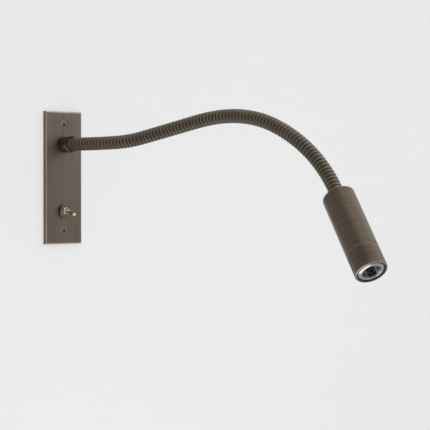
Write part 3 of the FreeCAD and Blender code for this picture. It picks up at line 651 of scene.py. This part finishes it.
# Toggle switch, in front of the plate: a bright nickel bushing with a fine thread stands out of a
# round bronze dress nut, and a turned bat lever swells to a domed tip.
nickel = metal("bright_nickel", AT_WALL, (700, 700, 700), (160, 160, 160),
               (0.62, 0.59, 0.54), (0.76, 0.73, 0.68), (0.10, 0.2), metallic=1, lacquer=0)
worn_nickel = metal("worn_nickel", AT_WALL, (700, 700, 700), (160, 160, 160),
                    (0.52, 0.46, 0.34), (0.70, 0.62, 0.47), (0.16, 0.28), metallic=1, lacquer=0)
bronze_nut = metal("antique_bronze_nut", facing_out(SWITCH_LEVEL), (60, 60, 2600), (200, 200, 200),
                   (0.100, 0.083, 0.064), (0.158, 0.131, 0.102), (0.30, 0.42))
DRESS_RADIUS, DRESS_BORE, DRESS_FRONT = 0.00615, 0.00305, 0.007
BUSHING_RADIUS, BUSHING_BORE = 0.003, 0.00225
dress_nut = turned([(DRESS_BORE, PLATE_THICKNESS), (DRESS_RADIUS, PLATE_THICKNESS),
                    (DRESS_RADIUS, DRESS_FRONT - 0.0005), (0.0056, DRESS_FRONT),
                    (DRESS_BORE, DRESS_FRONT)], facing_out(SWITCH_LEVEL), steps=96)
# The dress nut's rounded edges take the lighter bronze: partly edge wear, partly painted highlight.
fit(soften(dress_nut, 0.00015, 3, 20), "dress_nut", "base", "antique_fitting",
    [bronze_nut, bronze_wear_and_highlight], "switch_dress_nut")
bushing = turned(
    [(BUSHING_BORE, -0.003), (0.0028, -0.003)] + thread(BUSHING_RADIUS, -0.0028, 0.0078, 0.00053)
    + [(0.0029, 0.0081), (0.00265, 0.0085), (0.0024, 0.0085), (BUSHING_BORE, 0.0083)],
    facing_out(SWITCH_LEVEL), steps=56,
)
fit(bushing, "bushing", "base", "nickel", [worn_nickel], "switch_bushing")
LEVER_PIVOT = 0.0055
LEVER_TILT = math.radians(13)
lever_place = (Matrix.Translation((0, -LEVER_PIVOT, SWITCH_LEVEL))
               @ Matrix.Rotation(math.radians(90) + LEVER_TILT, 4, "X"))
bat = [(0, -0.00156), (0.00117, -0.0015), (0.0017, -0.00105), (0.00195, -0.0003),
       (0.00195, 0.0004), (0.0016, 0.0011), (0.00125, 0.0017), (0.00118, 0.004),
       (0.00120, 0.0075), (0.00130, 0.0105), (0.00145, 0.0130), (0.00150, 0.01375),
       (0.00143, 0.0143), (0.0012, 0.0148), (0.0008, 0.0151), (0.0003, 0.0152), (0, 0.0152)]
fit(turned(bat, lever_place, steps=40, closed=False), "lever", "toggle", "nickel", [nickel],
    "toggle_lever")

# Toggle switch, behind the plate: its nut and washer, and a moulded body held in a folded steel
# frame, with a seam where its two halves meet and three silver-plated lugs.
REAR_WASHER, REAR_NUT = 0.0005, 0.002
CASE_WIDTH, CASE_HEIGHT = 0.0079, 0.0132
CASE_FRONT, CASE_REAR = 0.0034, 0.0094
BASE_FRONT, BASE_REAR = 0.0096, 0.0124
LUG_SPACING = 0.0047
LUG_WIDTH, LUG_LENGTH, LUG_THICKNESS, LUG_EYE = 0.002, 0.004, 0.0008, 0.00055
fit(lock_washer(0.0031, 0.0055, REAR_WASHER, facing_out(SWITCH_LEVEL, -REAR_WASHER), 12),
    "rear_washer", "base", "zinc_steel", [zinc, zinc_edge], "switch_washer")
fit(hexagon_nut(0.008, REAR_NUT, 0.00305, facing_out(SWITCH_LEVEL, -REAR_WASHER - REAR_NUT)),
    "rear_nut", "base", "zinc_steel", [zinc, zinc_edge], "switch_hex_nut")
black_moulding = moulding("black_moulding", (0.010, 0.010, 0.012), (0.020, 0.020, 0.023),
                          (0.38, 0.52))
red_phenolic = moulding("phenolic_base", (0.16, 0.030, 0.018), (0.24, 0.05, 0.03), (0.35, 0.5))
for name, near, far, finish in (("switch_case", CASE_FRONT, CASE_REAR, black_moulding),
                                ("switch_base", BASE_FRONT, BASE_REAR, red_phenolic)):
    block = cuboid((0, (near + far) / 2, SWITCH_LEVEL), (CASE_WIDTH, far - near, CASE_HEIGHT))
    fit(soften(block, 0.00035, 3), name, "base", "switch_moulding", [finish, finish], "switch_body")
seam = cuboid((0, (CASE_REAR + BASE_FRONT) / 2, SWITCH_LEVEL),
              (CASE_WIDTH - 0.0005, 0.0006, CASE_HEIGHT - 0.0005))
fit(soften(seam, 0.0001), "switch_seam", "base", "switch_moulding",
    [black_moulding, black_moulding], "switch_body")
silver = metal("silver_plate", AT_WALL, (600, 2500, 600), (200, 200, 200),
               (0.66, 0.64, 0.58), (0.80, 0.78, 0.73), (0.2, 0.34), metallic=1, lacquer=0)
for number, level in enumerate((LUG_SPACING, 0.0, -LUG_SPACING), start=1):
    strip = cuboid((0, BASE_REAR + LUG_LENGTH / 2, SWITCH_LEVEL + level),
                   (LUG_WIDTH, LUG_LENGTH, LUG_THICKNESS))
    corners = [edge for edge in strip.edges
               if all(corner.co.y > 0.016 for corner in edge.verts)
               and abs(edge.verts[0].co.z - edge.verts[1].co.z) > 0.0005]
    bmesh.ops.bevel(strip, geom=corners, offset=0.0006, offset_type="OFFSET", segments=4,
                    profile=0.5, affect="EDGES", material=-1)
    eye = turned([(0, -0.001), (LUG_EYE, -0.001), (LUG_EYE, 0.001), (0, 0.001)],
                 Matrix.Translation((0, 0.0154, SWITCH_LEVEL + level)), steps=24)
    lug = soften(drilled(strip, eye), 0.00008, 2)
    fit(lug, f"lug_{number}", "base", "lug_silver", [silver, silver], "switch_terminals")

# Head: a thick turned tube, closed at the rear, whose edge there is rounded over. It is turned to
# a satin finish with fine lines round it, and plated antique bronze.
head_point = middles[-1] + head_heading * RIB_PITCH * TIP_TURNS
head_place = (Matrix.Translation(head_point)
              @ head_heading.to_track_quat("Z", "Y").to_matrix().to_4x4())
bronze_head = metal("antique_bronze_turned", head_place, (30, 30, 2600), (14, 14, 430),
                    (0.060, 0.045, 0.032), (0.106, 0.079, 0.056), (0.28, 0.38), relief=0.35,
                    lacquer=0.07)
# A brighter bronze that stands for highlights on the head's rounded edges and seam: painted
# highlight.
bronze_highlight = metal("antique_bronze_highlight", head_place, (300, 300, 900), (90, 90, 90),
                      (0.235, 0.182, 0.124), (0.345, 0.269, 0.185), (0.22, 0.32))
# A darker bronze that stands for the shade on the lip round the lens: painted shade.
bronze_lip_shade = metal("antique_bronze_lip_shade", head_place, (300, 300, 900), (90, 90, 90),
                   (0.040, 0.030, 0.020), (0.075, 0.056, 0.038), (0.30, 0.42))
HEAD_RADIUS = 0.013
HEAD_SPLIT = 0.056
TUBE_INSIDE, TUBE_FLOOR, TUBE_HOLE = 0.0118, 0.004, 0.0051
REAR_ROUND = 0.0016
rear_round = [
    (HEAD_RADIUS - REAR_ROUND * (1 - math.sin(angle)), REAR_ROUND * (1 - math.cos(angle)))
    for angle in (math.radians(15 * step) for step in range(7))
]
tube = turned(
    [(TUBE_HOLE, 0)] + rear_round
    + [(HEAD_RADIUS, HEAD_SPLIT - 0.00008), (HEAD_RADIUS - 0.0001, HEAD_SPLIT),
       (TUBE_INSIDE, HEAD_SPLIT), (TUBE_INSIDE, TUBE_FLOOR), (TUBE_HOLE, TUBE_FLOOR)],
    head_place, steps=128,
)
into_head = head_place.inverted()
# The rear round takes the brighter bronze: a painted highlight line along the rear edge.
for face in tube.faces:
    spot = into_head @ face.calc_center_median()
    if 0.0001 < spot.z < 0.0007 and math.hypot(spot.x, spot.y) > 0.0115:
        face.material_index = 1
fit(tube, "head_tube", "head", "antique_turned", [bronze_head, bronze_highlight], "head_body")

# Front ring: turned from the same bar, pushed into the tube. Five fine lines are cut round it, and
# its front edge is rolled over into a lip that holds the lens.
RING_INSIDE, RING_SPIGOT, RING_REAR = 0.01085, 0.01175, 0.050
LINE_COUNT, LINE_SPACING, FIRST_LINE = 5, 0.00255, 0.0061
LINE_DEPTH, LINE_HALF_WIDTH = 0.00026, 0.00045
ring_profile = [(RING_INSIDE, RING_REAR), (RING_SPIGOT, RING_REAR), (RING_SPIGOT, HEAD_SPLIT),
                (HEAD_RADIUS - 0.00022, HEAD_SPLIT + 0.00002), (HEAD_RADIUS, HEAD_SPLIT + 0.0006)]
for line in range(LINE_COUNT):
    middle = HEAD_SPLIT + FIRST_LINE + LINE_SPACING * line
    ring_profile += [(HEAD_RADIUS, middle - LINE_HALF_WIDTH),
                     (HEAD_RADIUS - LINE_DEPTH, middle - 0.0001),
                     (HEAD_RADIUS - LINE_DEPTH, middle + 0.0001),
                     (HEAD_RADIUS, middle + LINE_HALF_WIDTH)]
FRONT = 0.076
LIP_ROUND = 0.0014
LIP_REACH = 0.0106
LIP_BACK = 0.0748
ring_profile += [
    (HEAD_RADIUS - LIP_ROUND * (1 - math.cos(angle)), FRONT - LIP_ROUND * (1 - math.sin(angle)))
    for angle in (math.radians(10 * step) for step in range(10))
]
ring_profile += [(LIP_REACH + 0.0002, FRONT), (LIP_REACH, FRONT - 0.0002), (LIP_REACH, LIP_BACK),
                 (RING_INSIDE, LIP_BACK)]
ring = turned(ring_profile, head_place, steps=128)
# Painted highlight on the front rim's outer round and on the chamfer by the seam, which take the
# brighter bronze; painted shade on the lip round the lens, which takes the darker bronze.
for face in ring.faces:
    spot = into_head @ face.calc_center_median()
    reach = math.hypot(spot.x, spot.y)
    if FRONT - 0.0007 < spot.z < FRONT - 0.00005 and reach > 0.0118:
        face.material_index = 1
    elif HEAD_SPLIT < spot.z < HEAD_SPLIT + 0.0005 and reach > 0.0126:
        face.material_index = 1
    elif spot.z > FRONT - 0.0013 and reach < 0.0118:
        face.material_index = 2
fit(ring, "head_ring", "head", "antique_turned", [bronze_head, bronze_highlight, bronze_lip_shade],
    "front_ring")

# Lens: a moulded collimator of clear acrylic. Its frosted shoulder slopes back to the lip, its
# cone reflects like dull silver, and the light emitter sits dark at the bottom of its well.
frosted = metal("frosted_shoulder", head_place, (700, 700, 700), (120, 120, 120),
                (0.30, 0.30, 0.32), (0.42, 0.42, 0.45), (0.10, 0.18), metallic=0.9, lacquer=0.3)
silvered = metal("reflecting_cone", head_place, (400, 400, 400), (80, 80, 80),
                 (0.27, 0.27, 0.30), (0.42, 0.42, 0.46), (0.08, 0.16), metallic=1, lacquer=0.3)
well_dark = moulding("well_shadow", (0.012, 0.011, 0.014), (0.03, 0.028, 0.034), (0.12, 0.3))
ACRYLIC_INDEX = 1.49
acrylic = bpy.data.materials.new("clear_acrylic")
acrylic.use_nodes = True
nodes, link = acrylic.node_tree.nodes, acrylic.node_tree.links.new
surface = nodes["Principled BSDF"]
surface.inputs["Base Color"].default_value = (0.96, 0.97, 0.98, 1)
surface.inputs["Transmission Weight"].default_value = 1
surface.inputs["IOR"].default_value = ACRYLIC_INDEX
link(ranged(nodes, link, grain(nodes, link, head_place, (500, 500, 500), 2), 0.0, 0.03),
     surface.inputs["Roughness"])
shoulder = turned([(0.0105, FRONT - 0.0009), (0.0098, FRONT - 0.00055), (0.0089, FRONT - 0.00022),
                   (0.0080, FRONT - 0.0001), (0.0077, FRONT - 0.0003), (0.0074, FRONT - 0.0014),
                   (0.0074, FRONT - 0.0022), (0.0105, FRONT - 0.0022)],
                  head_place, steps=96)
fit(shoulder, "lens_shoulder", "head", "lens_clear", [frosted], "lens")
cone = [(0.0074, 0.0744), (0.0069, 0.0722), (0.0062, 0.0705), (0.0055, 0.0690), (0.0047, 0.0677),
        (0.0039, 0.0667), (0.0030, 0.0660)]
bowl = turned(cone + [(0.0030, 0.0656), (0.0090, 0.0656), (0.0090, 0.0738)], head_place, steps=96)
fit(bowl, "lens_cone", "head", "lens_clear", [silvered], "lens")
cover = turned([(0.0066, 0.0751), (0.00745, 0.0751), (0.00745, 0.0755), (0.0066, 0.0755)],
               head_place, steps=96)
fit(cover, "lens_front", "head", "lens_clear", [acrylic], "lens")
# The well is lined with a near-black moulding that stands for the shade inside the clear lens's
# hollow: painted shade.
well = turned([(0.0023, 0.0748), (0.0028, 0.0748), (0.0031, 0.0660), (0.0026, 0.0657),
               (0.0, 0.0657), (0.0, 0.0660), (0.0020, 0.0662)], head_place, steps=64)
fit(well, "lens_well", "head", "lens_clear", [well_dark], "lens")
phosphor = moulding("phosphor_dome", (0.35, 0.26, 0.06), (0.5, 0.38, 0.10), (0.12, 0.25))
dome = turned([(0.0022, 0.0652), (0.00215, 0.0657), (0.0019, 0.0661), (0.0014, 0.0665),
               (0.0008, 0.0667), (0.0, 0.0668), (0.0, 0.0652)], head_place, steps=48)
fit(dome, "emitter_dome", "head", "emitter", [phosphor], "led_emitter")

# Inside the head: the nipple that holds the arm, its washer and nut, a turned aluminium heat sink,
# the light board with its white mask, and the black lens holder.
plain_aluminium = metal("turned_aluminium", head_place, (60, 60, 2200), (120, 120, 120),
                        (0.62, 0.62, 0.63), (0.76, 0.76, 0.77), (0.28, 0.42), metallic=1, lacquer=0)
white_mask = moulding("white_solder_mask", (0.72, 0.72, 0.70), (0.80, 0.80, 0.78), (0.3, 0.42))
for node, finish in (("head_nipple", zinc), ("head_washer", zinc), ("head_nut", zinc),
                     ("lever_pin", zinc), ("switch_frame", zinc), ("heat_sink", plain_aluminium),
                     ("led_board", white_mask), ("lens_holder", black_moulding)):
    solid = frame["nodes"][node]
    solid.data.materials.clear()
    solid.data.materials.append(finish)
